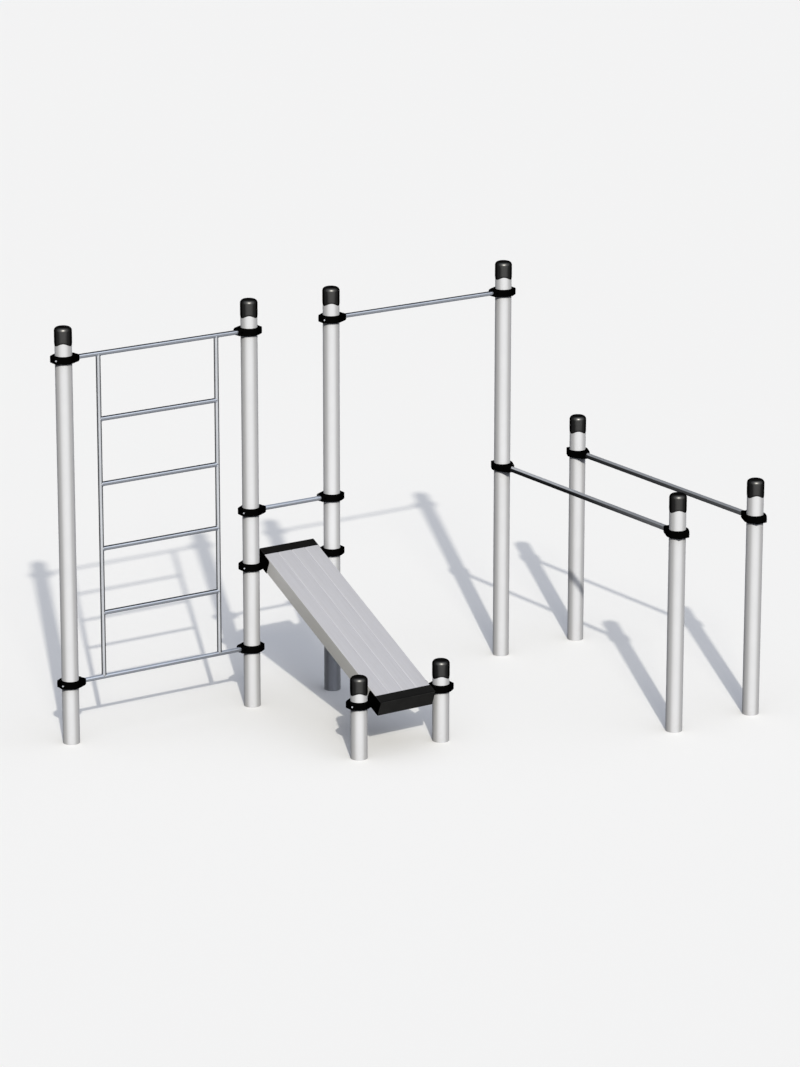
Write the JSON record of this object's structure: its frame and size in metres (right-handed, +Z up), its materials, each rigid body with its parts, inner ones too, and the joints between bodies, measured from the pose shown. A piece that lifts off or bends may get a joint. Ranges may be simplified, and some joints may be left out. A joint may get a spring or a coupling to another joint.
{
  "type": "calisthenics station",
  "caption": "Outdoor calisthenics station: capped round posts joined by clamped bars, with a ladder, a pull-up bar, parallel bars and a sloping bench.",
  "frame": {"origin": "on the ground, at the middle of the station's bounding box", "axes": "+X along the back row, from the ladder towards the parallel bars; +Y to the back; +Z up"},
  "size_m": [4.089, 2.1146, 2.7103],
  "materials": {
    "post_paint": "satin light grey powder coat",
    "cap_plastic": "semi-gloss black moulding",
    "clamp_coating": "matt black coated casting",
    "bar_steel": "plain satin steel tube",
    "plank": "light grey extruded plank with shallow grooves",
    "bench_end_plastic": "satin black moulding"
  },
  "bodies": {
    "root": {"tall_post_1": "post_paint", "tall_post_2": "post_paint", "tall_post_3": "post_paint", "tall_post_4": "post_paint", "parallel_post_1": "post_paint", "parallel_post_2": "post_paint", "parallel_post_3": "post_paint", "bench_post_1": "post_paint", "bench_post_2": "post_paint", "tall_post_1_cap": "cap_plastic", "tall_post_2_cap": "cap_plastic", "tall_post_3_cap": "cap_plastic", "tall_post_4_cap": "cap_plastic", "parallel_post_1_cap": "cap_plastic", "parallel_post_2_cap": "cap_plastic", "parallel_post_3_cap": "cap_plastic", "bench_post_1_cap": "cap_plastic", "bench_post_2_cap": "cap_plastic", "ladder_top_left_clamp_body": "clamp_coating", "ladder_top_left_clamp_cover": "clamp_coating", "ladder_top_right_clamp_body": "clamp_coating", "ladder_top_right_clamp_cover": "clamp_coating", "ladder_foot_left_clamp_body": "clamp_coating", "ladder_foot_left_clamp_cover": "clamp_coating", "ladder_foot_right_clamp_body": "clamp_coating", "ladder_foot_right_clamp_cover": "clamp_coating", "link_left_clamp_body": "clamp_coating", "link_left_clamp_cover": "clamp_coating", "link_right_clamp_body": "clamp_coating", "link_right_clamp_cover": "clamp_coating", "bench_top_left_clamp_body": "clamp_coating", "bench_top_left_clamp_cover": "clamp_coating", "bench_top_right_clamp_body": "clamp_coating", "bench_top_right_clamp_cover": "clamp_coating", "bench_foot_left_clamp_body": "clamp_coating", "bench_foot_left_clamp_cover": "clamp_coating", "bench_foot_right_clamp_body": "clamp_coating", "bench_foot_right_clamp_cover": "clamp_coating", "pull_up_left_clamp_body": "clamp_coating", "pull_up_left_clamp_cover": "clamp_coating", "pull_up_right_clamp_body": "clamp_coating", "pull_up_right_clamp_cover": "clamp_coating", "parallel_left_back_clamp_body": "clamp_coating", "parallel_left_back_clamp_cover": "clamp_coating", "parallel_right_back_clamp_body": "clamp_coating", "parallel_right_back_clamp_cover": "clamp_coating", "parallel_left_front_clamp_body": "clamp_coating", "parallel_left_front_clamp_cover": "clamp_coating", "parallel_right_front_clamp_body": "clamp_coating", "parallel_right_front_clamp_cover": "clamp_coating", "ladder_frame": "bar_steel", "pull_up_bar": "bar_steel", "link_bar": "bar_steel", "bench_bar_top": "bar_steel", "bench_bar_foot": "bar_steel", "parallel_bar_left": "bar_steel", "parallel_bar_right": "bar_steel", "bench_board": "plank", "bench_end_top": "bench_end_plastic", "bench_end_foot": "bench_end_plastic"}
  },
  "joints": []
}
